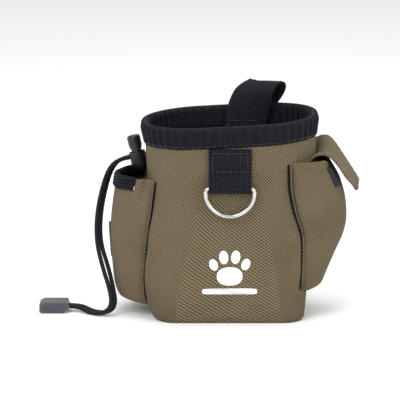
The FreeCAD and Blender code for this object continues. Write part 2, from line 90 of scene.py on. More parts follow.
# Pockets: height, outer face's distance from the middle, reach to the front and to the rear seam,
# and how square the section is.
left_levels = [
    (0.0095, 0.0765, 0.0245, 0.024, 2.7), (0.024, 0.0805, 0.0265, 0.028, 2.6),
    (0.064, 0.0830, 0.0270, 0.030, 2.2), (0.0985, 0.0790, 0.0285, 0.030, 1.7),
]
right_levels = [
    (0.021, 0.0640, 0.0335, 0.020, 4.2), (0.042, 0.0735, 0.0330, 0.026, 4.2),
    (0.060, 0.0810, 0.0335, 0.028, 4.2), (0.076, 0.0815, 0.0375, 0.028, 4.2),
    (0.092, 0.0780, 0.0400, 0.028, 4.2), (0.108, 0.0690, 0.0408, 0.027, 4.2),
]
right_front_roundness = 0.62     # the right pocket's front is this much less square
right_front_lift = 0.0050        # and its mouth this much higher
# How far the slack left side bulges out at some heights.
belly_levels = [
    (0.0, 0.0), (0.010, 0.0036), (0.028, 0.0063), (0.058, 0.0040), (0.080, 0.0015), (0.100, 0.0),
]

cord_radius = 0.0015
strand_a_points = [
    (-0.06997, 0.01655, 0.10592),
    (-0.0772, 0.0184, 0.1044),
    (-0.0844, 0.0172, 0.0986),
    (-0.0894, 0.0116, 0.0850),
    (-0.0930, 0.0036, 0.0670),
    (-0.0928, -0.0054, 0.0495),
    (-0.0882, -0.0142, 0.0334),
    (-0.0834, -0.0202, 0.0202),
    (-0.0816, -0.0230, 0.0100),
    (-0.0848, -0.0228, 0.0042),
    (-0.0914, -0.0198, 0.0016),
    (-0.0988, -0.0148, 0.0018),
    (-0.1066, -0.0076, 0.0040),
    (-0.1146, -0.0076, 0.0040),
]
strand_b_points = [
    (-0.06931, 0.01968, 0.10596),
    (-0.0765, 0.0216, 0.1045),
    (-0.0830, 0.0204, 0.0970),
    (-0.0872, 0.0144, 0.0834),
    (-0.0904, 0.0058, 0.0662),
    (-0.0902, -0.0030, 0.0489),
    (-0.0842, -0.0114, 0.0326),
    (-0.0807, -0.0172, 0.0194),
    (-0.0790, -0.0202, 0.0096),
    (-0.0822, -0.0198, 0.0038),
    (-0.0889, -0.0168, 0.0016),
    (-0.0964, -0.0118, 0.0018),
    (-0.1042, -0.0044, 0.0040),
    (-0.1140, -0.0044, 0.0040),
]


# ---- camera ----

def add_object(name, data):
    """Object of a mesh, curve, camera or light, placed in the scene."""
    made = bpy.data.objects.new(name, data)
    bpy.context.scene.collection.objects.link(made)
    return made


def add_camera():
    """Long lens, a little above the rim, square to the bag's front."""
    elevation = math.radians(12.0)
    distance = 1.5
    field = 0.280
    target = Vector((-0.0203, 0.0, 0.0787))
    data = bpy.data.cameras.new("camera")
    data.sensor_width = 36.0
    data.lens = data.sensor_width * distance / field
    camera = add_object("camera", data)
    camera.location = target + distance * Vector((0, -math.cos(elevation), math.sin(elevation)))
    camera.rotation_euler = (target - camera.location).to_track_quat("-Z", "Y").to_euler()
    bpy.context.scene.camera = camera


# ---- node materials ----

def new_material(name, roughness, metallic=0.0, sheen=0.0):
    """Material, its node tree and its shader."""
    material = bpy.data.materials.new(name)
    material.use_nodes = True
    tree = material.node_tree
    shader = tree.nodes["Principled BSDF"]
    shader.inputs["Roughness"].default_value = roughness
    shader.inputs["Metallic"].default_value = metallic
    shader.inputs["Sheen Weight"].default_value = sheen
    return material, tree, shader


def node(tree, kind, settings=None, **inputs):
    """Add a node with its settings, and link or set its inputs by name, or by number as in _0."""
    made = tree.nodes.new(kind)
    for name, value in (settings or {}).items():
        setattr(made, name, value)
    for name, value in inputs.items():
        key = int(name[1:]) if name[0] == "_" else name.replace("_", " ")
        if isinstance(value, bpy.types.NodeSocket):
            tree.links.new(value, made.inputs[key])
        else:
            made.inputs[key].default_value = value
    return made


def maths(tree, operation, first, second=0.0):
    return node(tree, "ShaderNodeMath", {"operation": operation}, _0=first, _1=second).outputs[0]


def paint(tree, shader, factor, dark, light):
    """Colour the shader between two linear colours."""
    mix = tree.nodes.new("ShaderNodeMix")
    mix.data_type = "RGBA"
    share, start, end, result = mix.inputs[0], mix.inputs[6], mix.inputs[7], mix.outputs[2]
    tree.links.new(factor, share)
    start.default_value = (*dark, 1.0)
    end.default_value = (*light, 1.0)
    tree.links.new(result, shader.inputs["Base Color"])


def add_bump(tree, shader, height, distance, strength=1.0):
    bump = node(tree, "ShaderNodeBump", Height=height, Distance=distance, Strength=strength)
    tree.links.new(bump.outputs["Normal"], shader.inputs["Normal"])


def wave(tree, vector, angle, pitch):
    """Sine bands of one pitch, across a direction in the cloth's own flat coordinates, 0 to 1."""
    parts = node(tree, "ShaderNodeSeparateXYZ", Vector=vector)
    turns_per_metre = 2 * math.pi / pitch
    across = maths(tree, "MULTIPLY", parts.outputs["X"], turns_per_metre * math.cos(angle))
    along = maths(tree, "MULTIPLY", parts.outputs["Y"], turns_per_metre * math.sin(angle))
    value = maths(tree, "SINE", maths(tree, "ADD", across, along))
    return maths(tree, "MULTIPLY_ADD", value, 0.5)


def cloth_vector(tree):
    return node(tree, "ShaderNodeUVMap", {"uv_map": "cloth"}).outputs["UV"]


def object_vector(tree):
    return node(tree, "ShaderNodeTexCoord").outputs["Object"]


def noise_of(tree, vector, scale, detail=3.0):
    return node(tree, "ShaderNodeTexNoise", Vector=vector, Scale=scale, Detail=detail).outputs["Fac"]


def woven_material(name, dark, light, pitch, degrees, contrast, relief, roughness, sheen):
    """Two sets of threads at right angles, with uneven dye and loose fibres."""
    warp_share, speckle_share, patch_share, fibre_relief = 0.65, 0.45, 0.5, 0.3
    fibre_scale, patch_scale = 900.0, 35.0
    material, tree, shader = new_material(name, roughness, sheen=sheen)
    shader.inputs["Specular IOR Level"].default_value = 0.12
    flat = cloth_vector(tree)
    fibres = noise_of(tree, flat, fibre_scale)
    warp = wave(tree, flat, math.radians(degrees), pitch)
    weft = wave(tree, flat, math.radians(degrees + 90), pitch)
    both = maths(tree, "ADD", maths(tree, "MULTIPLY", warp, warp_share),
                 maths(tree, "MULTIPLY", weft, 1 - warp_share))
    threads = maths(tree, "ADD", maths(tree, "MULTIPLY", both, contrast), 0.5 * (1 - contrast))
    speckle = maths(tree, "MULTIPLY", fibres, speckle_share)
    patches = maths(tree, "MULTIPLY", noise_of(tree, object_vector(tree), patch_scale), patch_share)
    tone = maths(tree, "ADD", maths(tree, "ADD", threads, speckle), patches)
    tone = maths(tree, "SUBTRACT", tone, patch_share / 2)
    paint(tree, shader, tone, dark, light)
    height = maths(tree, "ADD", threads, maths(tree, "MULTIPLY", fibres, fibre_relief))
    add_bump(tree, shader, height, relief)
    return material


def outer_fabric_material():
    return woven_material("outer_fabric_look", (0.034, 0.025, 0.013), (0.186, 0.147, 0.085), pitch=0.0016,
                          degrees=40, contrast=1.6, relief=0.00040, roughness=0.88, sheen=0.04)


def webbing_material():
    return woven_material("webbing_look", (0.0008, 0.0008, 0.0014), (0.0150, 0.0155, 0.0235), pitch=0.0016,
                          degrees=0, contrast=1.8, relief=0.00045, roughness=0.70, sheen=0.01)


def lining_material():
    return woven_material("lining_look", (0.0010, 0.0010, 0.0015), (0.0045, 0.0045, 0.0060), pitch=0.0009,
                          degrees=45, contrast=0.8, relief=0.00010, roughness=0.85, sheen=0.0)


def cord_material():
    return woven_material("cord_look", (0.002, 0.002, 0.003), (0.014, 0.014, 0.018), pitch=0.0010,
                          degrees=35, contrast=0.8, relief=0.00010, roughness=0.62, sheen=0.03)


def thread_material(name, colour):
    """Twisted sewing thread."""
    shade = 0.6
    material, tree, shader = new_material(name, 0.55, sheen=0.3)
    tone = noise_of(tree, object_vector(tree), 900.0)
    dark = [shade * part for part in colour]
    paint(tree, shader, tone, dark, colour)
    add_bump(tree, shader, tone, 0.0001)
    return material


def hook_tape_material():
    """Dense short hooks: a rough, speckled black pile."""
    hooks_per_metre = 1400.0
    material, tree, shader = new_material("hook_shade_strip_look", 0.9, sheen=0.05)
    cells = node(tree, "ShaderNodeTexVoronoi", Vector=object_vector(tree), Scale=hooks_per_metre)
    cells = cells.outputs["Distance"]
    paint(tree, shader, cells, (0.0015, 0.0015, 0.0020), (0.012, 0.012, 0.015))
    add_bump(tree, shader, cells, 0.0006)
    return material


def metal_material(name, dark, light, roughness, relief):
    """Plated metal with faint scratches and cloudy polish."""
    cloud_scale, scratch_scale, uneven = 220.0, 3500.0, 0.12
    material, tree, shader = new_material(name, roughness, 1.0)
    place = object_vector(tree)
    clouds = noise_of(tree, place, cloud_scale, 5.0)
    scratches = noise_of(tree, place, scratch_scale, 2.0)
    paint(tree, shader, clouds, dark, light)
    spread = maths(tree, "MULTIPLY", clouds, uneven)
    tree.links.new(maths(tree, "ADD", spread, roughness - uneven / 2), shader.inputs["Roughness"])
    add_bump(tree, shader, scratches, relief)
    return material


def plastic_material(name, dark, light, roughness):
    """Moulded plastic with fine spark-eroded grain."""
    grain_scale, cloud_scale, relief = 2600.0, 160.0, 0.00008
    material, tree, shader = new_material(name, roughness)
    place = object_vector(tree)
    grain = noise_of(tree, place, grain_scale, 4.0)
    clouds = noise_of(tree, place, cloud_scale)
    paint(tree, shader, clouds, dark, light)
    add_bump(tree, shader, grain, relief)
    return material


def print_material():
    """White screen print that lets a little of the weave through."""
    material, tree, shader = new_material("print_look", 0.6)
    flat = cloth_vector(tree)
    weave = wave(tree, flat, math.radians(40), 0.0015)
    worn = maths(tree, "MULTIPLY_ADD", noise_of(tree, flat, 1200.0), 0.35)
    paint(tree, shader, worn, (0.72, 0.73, 0.76), (0.92, 0.93, 0.95))
    add_bump(tree, shader, weave, 0.00012)
    return material


looks = {
    "outer_fabric": outer_fabric_material(),
    "black_webbing": webbing_material(),
    "black_lining": lining_material(),
    "braided_cord": cord_material(),
    "hook_tape": hook_tape_material(),
    "ring_metal": metal_material("ring_look", (0.42, 0.41, 0.40), (0.66, 0.65, 0.64), 0.20, 0.00001),
    "eyelet_metal": metal_material("eyelet_look", (0.05, 0.05, 0.055), (0.12, 0.12, 0.13), 0.35, 0.00002),
    "spring_metal": metal_material("spring_look", (0.40, 0.40, 0.41), (0.60, 0.60, 0.61), 0.30, 0.00002),
    "lock_plastic": plastic_material("lock_look", (0.003, 0.003, 0.005), (0.012, 0.012, 0.018), 0.42),
    "clip_plastic": plastic_material("clip_look", (0.042, 0.044, 0.055), (0.072, 0.076, 0.094), 0.45),
    "board_plastic": plastic_material("board_look", (0.03, 0.03, 0.03), (0.06, 0.06, 0.06), 0.55),
    "hoop_plastic": plastic_material("hoop_look", (0.02, 0.02, 0.02), (0.05, 0.05, 0.05), 0.50),
}
olive_thread = thread_material("olive_thread_look", (0.20, 0.16, 0.10))
black_thread = thread_material("black_thread_look", (0.007, 0.007, 0.011))
white_thread = thread_material("white_thread_look", (0.80, 0.80, 0.78))
white_print = print_material()


# ---- making pieces ----

def shade_smooth(mesh):
    mesh.polygons.foreach_set("use_smooth", [True] * len(mesh.polygons))


def finish_piece(name, mesh, slot, material=None, body="pouch"):
    """Object of a mesh, with its material (the look of its record slot unless one is given) and body."""
    mesh.materials.clear()
    mesh.materials.append(material or looks[slot])
    shade_smooth(mesh)
    piece = add_object(name, mesh)
    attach(piece, body)
    return piece


def grid_piece(name, rows, slot, round_columns=True, round_rows=False, **choices):
    """Piece made of rows of points, which close into rings unless told otherwise."""
    return finish_piece(name, grid_mesh(name, rows, round_columns, round_rows), slot, **choices)


def grid_mesh(name, rows, round_columns=False, round_rows=False):
    """Quads between rows of points, with the cloth's flat coordinates as a UV layer."""
    height = len(rows)
    width = len(rows[0])
    mesh = bpy.data.meshes.new(name)
    faces = []
    spots = []
    along = running_lengths([row[0] for row in rows])
    for i in range(height if round_rows else height - 1):
        below = (i + 1) % height
        for j in range(width if round_columns else width - 1):
            right = (j + 1) % width
            faces.append((i * width + j, i * width + right, below * width + right, below * width + j))
            spots += [(j, i), (j + 1, i), (j + 1, i + 1), (j, i + 1)]
    mesh.from_pydata([point for row in rows for point in row], [], faces)
    longest = max(rows, key=lambda row: (row[len(row) // 2] - row[0]).length)
    across = running_lengths(longest)
    layer = mesh.uv_layers.new(name="cloth")
    for loop, (j, i) in enumerate(spots):
        layer.data[loop].uv = (across[j], along[i])
    mesh.update()
    return mesh


def running_lengths(points):
    """Distance along points to each of them, and once more round."""
    lengths = [0.0]
    for start, end in zip(points, points[1:] + points[:1]):
        lengths.append(lengths[-1] + (end - start).length)
    return lengths


def thicken(piece, thickness, offset=-1.0):
    """Give a sheet its thickness, and keep the result in its mesh."""
    solid = piece.modifiers.new("thickness", "SOLIDIFY")
    solid.thickness = thickness
    solid.offset = offset
    settle(piece)


def settle(piece):
    """Apply a piece's modifiers to its mesh."""
    bpy.context.view_layer.update()
    graph = bpy.context.evaluated_depsgraph_get()
    mesh = bpy.data.meshes.new_from_object(piece.evaluated_get(graph))
    piece.modifiers.clear()
    piece.data = mesh
    shade_smooth(mesh)


def lerp(start, end, share):
    return start + (end - start) * share


def smooth(share):
    """Ease from 0 to 1."""
    share = clamp(share)
    return share * share * (3 - 2 * share)


def clamp(value):
    return min(max(value, 0.0), 1.0)


def steps(count):
    """Shares from 0 to 1, both ends included."""
    return [index / (count - 1) for index in range(count)]


def spaced(start, end, count):
    """Evenly spaced values, both ends included."""
    return [lerp(start, end, share) for share in steps(count)]


def turns(count):
    """Shares of a full turn, without the one that closes it."""
    return [index / count for index in range(count)]


def circle(count):
    """Angles spaced evenly round a circle."""
    return [2 * math.pi * turn for turn in turns(count)]


def ring_round(centre, side, other, radius, count):
    """Circle of points about a centre, in the plane of two directions."""
    return [centre + (side * math.cos(angle) + other * math.sin(angle)) * radius for angle in circle(count)]


def rod_faces(base, rings, sides):
    """Skin and end caps of a rod whose vertices start at base, ring after ring."""
    faces = []
    for ring in range(rings - 1):
        low = base + ring * sides
        for corner in range(sides):
            onward = (corner + 1) % sides
            faces.append((low + corner, low + onward, low + sides + onward, low + sides + corner))
    faces.append(tuple(base + corner for corner in reversed(range(sides))))
    faces.append(tuple(base + (rings - 1) * sides + corner for corner in range(sides)))
    return faces


def pinched(row, share):
    """Row of points drawn in towards its middle, to round off an end."""
    middle = sum(row, Vector()) / len(row)
    return [middle.lerp(point, share) for point in row]


def disc_rows(edge, rings, height_at):
    """Rings from an edge to a pinhole in the middle, each at the height that its share gives."""
    pinhole = 0.02
    rows = []
    for share in steps(rings):
        scale = max(1 - share, pinhole)
        rows.append([Vector((point.x * scale, point.y * scale, height_at(share))) for point in edge])
    return rows


def at(line, index):
    """Item of a line, held at its ends."""
    return line[min(max(index, 0), len(line) - 1)]


def through(levels, height):
    """Values of a level list at one height, eased through its levels."""
    if height <= levels[0][0]:
        return levels[0][1:]
    for index, (low, high) in enumerate(zip(levels, levels[1:])):
        if height <= high[0]:
            before, beyond = at(levels, index - 1), at(levels, index + 2)
            span = high[0] - low[0]
            start = span / (high[0] - before[0])
            end = span / (beyond[0] - low[0])
            share = (height - low[0]) / span
            return [eased(*values, start, end, share) for values in list(zip(before, low, high, beyond))[1:]]
    return levels[-1][1:]


def eased(before, low, high, beyond, start, end, share):
    """Cubic from low to high; its slopes are parts, start and end, of the steps across its neighbours."""
    cube = share ** 3
    square = share ** 2
    return (low * (2 * cube - 3 * square + 1) + (high - before) * start * (cube - 2 * square + share)
            + high * (3 * square - 2 * cube) + (beyond - low) * end * (cube - square))


# ---- the bag's wall ----

def rim_point(x, y, drop):
    """Point given beside and below the middle of the tilted rim."""
    cosine, sine = math.cos(rim_tilt), math.sin(rim_tilt)
    return Vector((x * cosine + drop * sine, y, rim_height + x * sine - drop * cosine))


def outline(turn, half_x, half_y, corner):
    """Point and outward direction of a rounded oblong, at a share of the way round from the front."""
    flat_x = mouth_half_x - mouth_corner
    flat_y = 2 * (mouth_half_y - mouth_corner)
    arc = math.pi / 2 * mouth_corner
    lengths = [flat_x, arc, flat_y, arc, 2 * flat_x, arc, flat_y, arc, flat_x]
    rest = (turn % 1.0) * sum(lengths)
    index = 0
    while index < len(lengths) - 1 and rest > lengths[index]:
        rest -= lengths[index]
        index += 1
    share = rest / lengths[index]
    x, y = half_x - corner, half_y - corner
    centres = {1: (x, -y, -90), 3: (x, y, 0), 5: (-x, y, 90), 7: (-x, -y, 180)}
    if index in centres:
        centre_x, centre_y, start = centres[index]
        angle = math.radians(start + 90 * share)
        out = Vector((math.cos(angle), math.sin(angle), 0))
        return Vector((centre_x, centre_y, 0)) + out * corner, out
    sides = {
        0: ((0, -half_y), (x, -half_y), (0, -1)),
        2: ((half_x, -y), (half_x, y), (1, 0)),
        4: ((x, half_y), (-x, half_y), (0, 1)),
        6: ((-half_x, y), (-half_x, -y), (-1, 0)),
        8: ((-x, -half_y), (0, -half_y), (0, -1)),
    }
    start, end, out = (Vector((*point, 0)) for point in sides[index])
    return start.lerp(end, share), out


def mouth_outline(turn):
    return outline(turn, mouth_half_x, mouth_half_y, mouth_corner)


def rim_offset(turn, out, drop):
    """Point so far out of the mouth's outline and so far below the tilted rim."""
    point, direction = mouth_outline(turn)
    point += direction * out
    return rim_point(point.x, point.y, drop)


def bulged(point):
    """Point of the taut wall, moved out where the left side is slack."""
    weight = min(max(-point.x, 0.0) / base_half_x, 1.0) ** 2
    return point - Vector((through(belly_levels, point.z)[0] * weight, 0, 0))


def wall_point(turn, share, out=0.0):
    """Point on the bag's outer face: share is 0 at the floor and 1 at the rim."""
    if share > shoulder_share:
        return rim_offset(turn, out, collar_height * (1 - share) / (1 - shoulder_share))
    foot, foot_out = outline(turn, base_half_x, base_half_y, base_corner)
    top = rim_offset(turn, out, collar_height)
    return bulged((foot + foot_out * out).lerp(top, share / shoulder_share))


def wall_x(side, y, z):
    """Outer face's X on the left (-1) or right (1) of the bag, at one depth and height."""
    share = clamp(z / shoulder_height)
    half_x = lerp(base_half_x, mouth_half_x, share)
    half_y = lerp(base_half_y, mouth_half_y, share)
    corner = lerp(base_corner, mouth_corner, share)
    shift = shoulder_shift * share
    if z > shoulder_height:
        shift = shoulder_shift * max(rim_height - z, 0.0) / collar_height
    past = max(abs(y) - (half_y - corner), 0.0)
    reach = half_x - corner + math.sqrt(max(corner ** 2 - past ** 2, 0.0))
    return bulged(Vector((side * reach + shift, y, z))).x


def wall_depth_y(z):
    """Outer face's Y at the middle of the bag's back."""
    return lerp(base_half_y, mouth_half_y, min(z / shoulder_height, 1.0))


def swelling(point, x, z, half_width, half_height):
    """Round swelling about one place on the front: 1 at its middle, fading outwards."""
    return math.exp(-((point.x - x) / half_width) ** 2 - ((point.z - z) / half_height) ** 2)


def slack(turn, share):
    """How far the soft wall stands out of its taut shape, in metres."""
    roll_height, crease_height, belly_height = 0.0011, 0.0005, 0.0008
    dent_depth, hem_height = 0.0016, 0.0012
    back_slack = 0.4             # the other sides are this slack, beside the front
    point = wall_point(turn, share)
    free = smooth(share / 0.10) * (1 - smooth((share - 0.58) / 0.14))
    front = smooth((-point.y - 0.020) / 0.012)
    roll = roll_height * noise.noise(Vector((point.x * 34, 3.1, point.z * 16)))
    crease = crease_height * noise.noise(Vector((point.x * 70 + point.z * 55, 8.7, point.z * 24)))
    belly = belly_height * math.sin(math.pi * min(share / 0.7, 1.0))
    dent = dent_depth * swelling(point, 0.040, 0.050, 0.007, 0.026)
    hem = hem_height * swelling(point, -0.004, 0.003, 0.012, 0.006)
    return (roll + crease + belly - dent * front) * free * lerp(back_slack, 1.0, front) + hem * front


def bag_body():
    """The olive wall: one soft sheet from the floor's edge to inside the rim binding."""
    columns, rows_up, rows_round = 288, 110, 6
    edge_radius = 0.003
    floor_gap = 0.0002
    top = 1 - 0.0060 / rim_height
    rows = []
    for share in steps(rows_round):
        angle = math.pi / 2 * (1 - share)
        inward = edge_radius * (1 - math.cos(angle))
        height = edge_radius * (1 - math.sin(angle)) + floor_gap
        rows.append([wall_point(turn, height / rim_height, -inward) for turn in turns(columns)])
    for share in spaced(edge_radius / rim_height, top, rows_up)[1:]:
        rows.append([wall_point(turn, share, slack(turn, share)) for turn in turns(columns)])
    piece = grid_piece("bag_body", rows, "outer_fabric")
    thicken(piece, cloth_thick)
    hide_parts("body_shell")


def bag_base():
    """Cloth across the bag's floor, domed a little towards the middle."""
    columns, rings = 144, 24
    inset, dome, thickness = 0.0015, 0.0006, 0.0009
    sizes = [size - inset for size in (base_half_x, base_half_y, base_corner)]
    edge = [outline(turn, *sizes)[0] for turn in turns(columns)]
    piece = grid_piece("bag_base", disc_rows(edge, rings, lambda share: dome * smooth(share)), "outer_fabric")
    thicken(piece, thickness, 1.0)
    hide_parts("base_panel")


def bag_lining():
    """Black lining: up the wall's inside, slightly rumpled, and across the floor."""
    columns, rows_up, rings = 240, 70, 16
    inset = cloth_thick + 0.0002
    rumple_depth = 0.0009
    floor = 0.0032
    top = 0.955
    rows = []
    for share in spaced(top, floor / rim_height, rows_up):
        free = smooth((top - 0.005 - share) / 0.2)
        row = []
        for turn in turns(columns):
            rumple = rumple_depth * (noise.noise(wall_point(turn, share) * 42) - 1)
            row.append(wall_point(turn, share, rumple * free - inset))
        rows.append(row)
    rows += disc_rows(rows[-1], rings, lambda share: floor)[1:]
    piece = grid_piece("bag_lining", rows, "black_lining")
    thicken(piece, lining_thick, 1.0)
    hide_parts("lining")


def rim_binding():
    """Ribbed tape folded over the hoop: two legs and a round top, with ribs across it."""
    rib_count, samples = 240, 4
    rib_height = 0.00030
    hem_proud = 0.0008
    hem_wobble = 0.00035
    stitch_drop = 0.0128
    outside, inside = 0.00015, -0.0029     # the legs' hidden faces, on the cloth and on the lining
    under_hoop = 0.0060
    profile = [(outside, band_drop - 0.0003, 0), (0.0005, band_drop, 0)]
    for share in steps(12):
        profile.append((lerp(hem_proud, band_proud, share), lerp(band_drop - 0.0006, 0.0040, share), 1))
    for share in steps(13):
        angle = math.pi * share
        profile.append((bead_radius * math.cos(angle) - bead_inset, bead_radius * (1 - math.sin(angle)), 1))
    profile += [(-band_inner, drop, 1) for drop in spaced(0.0050, 0.0143, 4)]
    profile += [(inside, band_drop, 0), (inside, under_hoop, 0), (outside, under_hoop, 0)]
    rows = []
    for out, drop, ribbed in profile:
        row = []
        for turn in turns(rib_count * samples):
            rib = rib_height * ribbed * math.cos(2 * math.pi * rib_count * turn)
            wobble = hem_wobble * noise.noise(mouth_outline(turn)[0] * 60) if drop > bead_radius else 0.0
            row.append(rim_offset(turn, out + (rib if out > -bead_inset else -rib), drop + wobble))
        rows.append(row)
    piece = grid_piece("mouth_binding", rows, "black_webbing", round_rows=True)
    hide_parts("rim_binding")
    for side, out in (("outer", hem_proud + 0.0003), ("inner", -band_inner)):
        line = [rim_offset(turn, out, stitch_drop) for turn in turns(360)]
        stitches("binding_stitch_" + side, line, black_thread, "black_webbing")


def collar():
    """Thin inner skirt, gathered towards the hem that holds the drawcord."""
    pleats, samples = 46, 8
    pleat_depth = 0.0005
    length = 0.027
    start = 0.0125
    hem = 0.0022                 # radius of the hem's tube
    hem_closed = 0.98            # share of the tube that the cloth goes round
    inset = band_inner + 0.0008
    profile = [(0.0, drop) for drop in spaced(start, length - hem, 20)]
    for share in steps(17):
        angle = 2 * math.pi * hem_closed * share
        profile.append((hem * (math.cos(angle) - 1), length - hem * math.sin(angle)))
    rows = []
    for out, drop in profile:
        gather = pleat_depth * smooth((drop - 0.012) / 0.012)
        row = []
        for turn in turns(pleats * samples):
            pleat = gather * math.sin(2 * math.pi * pleats * turn)
            row.append(rim_offset(turn, out - inset + pleat, drop))
        rows.append(row)
    piece = grid_piece("mouth_collar", rows, "black_lining")
    thicken(piece, 0.0005)
    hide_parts("closure_collar")


# ---- stitches ----

def resampled(points, spacing):
    """Points at equal spacing along a line of points."""
    result = [points[0]]
    carry = 0.0
    for start, end in zip(points, points[1:]):
        run = (end - start).length
        place = spacing - carry
        while place <= run:
            result.append(start.lerp(end, place / run))
            place += spacing
        carry = run - (place - spacing)
    return result


def stitches(name, points, material, slot, body="pouch"):
    """Row of separate thread stitches along a line of points, as one piece."""
    sides = 6
    radius = 0.00028
    spacing = 0.00085            # a stitch is four of these long, and the gap after it one
    beads = (0.35, 0.85, 1.0, 0.85, 0.35)
    spots = resampled(points, spacing)
    vertices, faces = [], []
    for first in range(0, len(spots) - len(beads) + 1, len(beads)):
        run = spots[first:first + len(beads)]
        heading = (run[-1] - run[0]).normalized()
        side = heading.orthogonal().normalized()
        faces += rod_faces(len(vertices), len(beads), sides)
        for centre, scale in zip(run, beads):
            vertices += ring_round(centre, side, heading.cross(side), radius * scale, sides)
    mesh = bpy.data.meshes.new(name)
    mesh.from_pydata(vertices, [], faces)
    return finish_piece(name, mesh, slot, material, body)


def stitched_box(name, centre_x, half, low, high, y_at):
    """Black stitches round a rectangle that faces front or back; y_at gives its Y at a height."""
    corners = ((-half, high), (half, high), (half, low), (-half, low), (-half, high))
    line = [Vector((centre_x + x, y_at(z), z)) for x, z in corners]
    stitches(name, line, black_thread, "black_webbing")


# ---- webbing ----

arc_slack = 1e-6                 # keeps a half turn's two arcs just inside their shared run


def rounded_path(points, radii, spacing):
    """Points along straight runs and arcs in a plane, at equal spacing."""
    line = [points[0]]
    for before, corner, after, radius in zip(points, points[1:], points[2:], radii):
        back = (before - corner).normalized()
        onward = (after - corner).normalized()
        turn = math.pi - back.angle(onward)
        tangent = radius * math.tan(turn / 2)
        centre = corner + (back + onward).normalized() * (radius / math.cos(turn / 2))
        first = corner + back * tangent - centre
        last = corner + onward * tangent - centre
        count = max(int(radius * turn / spacing), 4)
        line += [centre + first.slerp(last, share) * radius for share in steps(count)]
    line.append(points[-1])
    return resampled(line, spacing)


def no_sag(point, place):
    return 0.0


def ribbed_strap(name, path, across, width, rib_pitch, slant, node_name, sag=no_sag):
    """Woven tape along a path, with ribs across it, or slanted, and rolled edges."""
    columns = 34
    edge_width = 0.0009
    rib_height = 0.00020
    inset = 0.00012              # keeps the ribs within the tape's thickness
    rows = []
    travelled = 0.0
    for index, point in enumerate(path):
        before, after = at(path, index - 1), at(path, index + 1)
        travelled += (point - before).length
        heading = (after - before).normalized()
        sideways = across(point)
        sideways = (sideways - heading * sideways.dot(heading)).normalized()
        through_tape = heading.cross(sideways)
        front, back = [], []
        for place in spaced(-width / 2, width / 2, columns):
            edge = max(abs(place) - (width / 2 - edge_width), 0.0) / edge_width
            thick = webbing_thick / 2 * math.sqrt(max(1 - 0.75 * edge * edge, 0.1))
            phase = 2 * math.pi * (travelled + place * slant) / rib_pitch
            stand = thick + rib_height * math.cos(phase) * (1 - edge) - inset
            spot = point + sideways * place - Vector((0, 0, sag(point, place)))
            front.append(spot + through_tape * stand)
            back.append(spot - through_tape * stand)
        rows.append(front + back[::-1])
    rows = [pinched(rows[0], 0.6)] + rows + [pinched(rows[-1], 0.6)]
    piece = grid_piece(name, rows, "black_webbing")
    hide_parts(node_name)


def front_tab():
    """Doubled tape that carries the D-ring's bar in its fold."""
    bend_low, bend_high = 0.0035, 0.0095   # above the bar, where the front layer leans back
    bend_radius = 0.003
    edge = 0.0025                # from the stitches to the tab's edges
    width = tab_high.x - tab_low.x
    wire_radius = (ring_high.y - ring_low.y) / 2
    bar_y = (ring_low.y + ring_high.y) / 2
    bar_z = ring_high.z - wire_radius
    fold = wire_radius + 0.0005 + webbing_thick / 2
    back_y = tab_high.y - webbing_thick / 2
    front_y = back_y - webbing_thick - 0.0001
    outer_y = bar_y - fold
    points = [(back_y, tab_high.z), (back_y, bar_z - fold), (outer_y, bar_z - fold),
              (outer_y, bar_z + bend_low), (front_y, bar_z + bend_high), (front_y, tab_high.z)]
    points = [Vector((0, y, z)) for y, z in points]
    half_turn = fold - arc_slack
    path = rounded_path(points, [half_turn, half_turn, bend_radius, bend_radius], 0.00035)
    ribbed_strap("ring_tab", path, lambda point: Vector((1, 0, 0)), width, 0.0014, 0.0, "front_tab")
    stitched_box("tab_stitch_box", 0.0, width / 2 - edge, bar_z + bend_high + 0.0020, tab_high.z - edge,
                 lambda z: front_y - webbing_thick / 2)


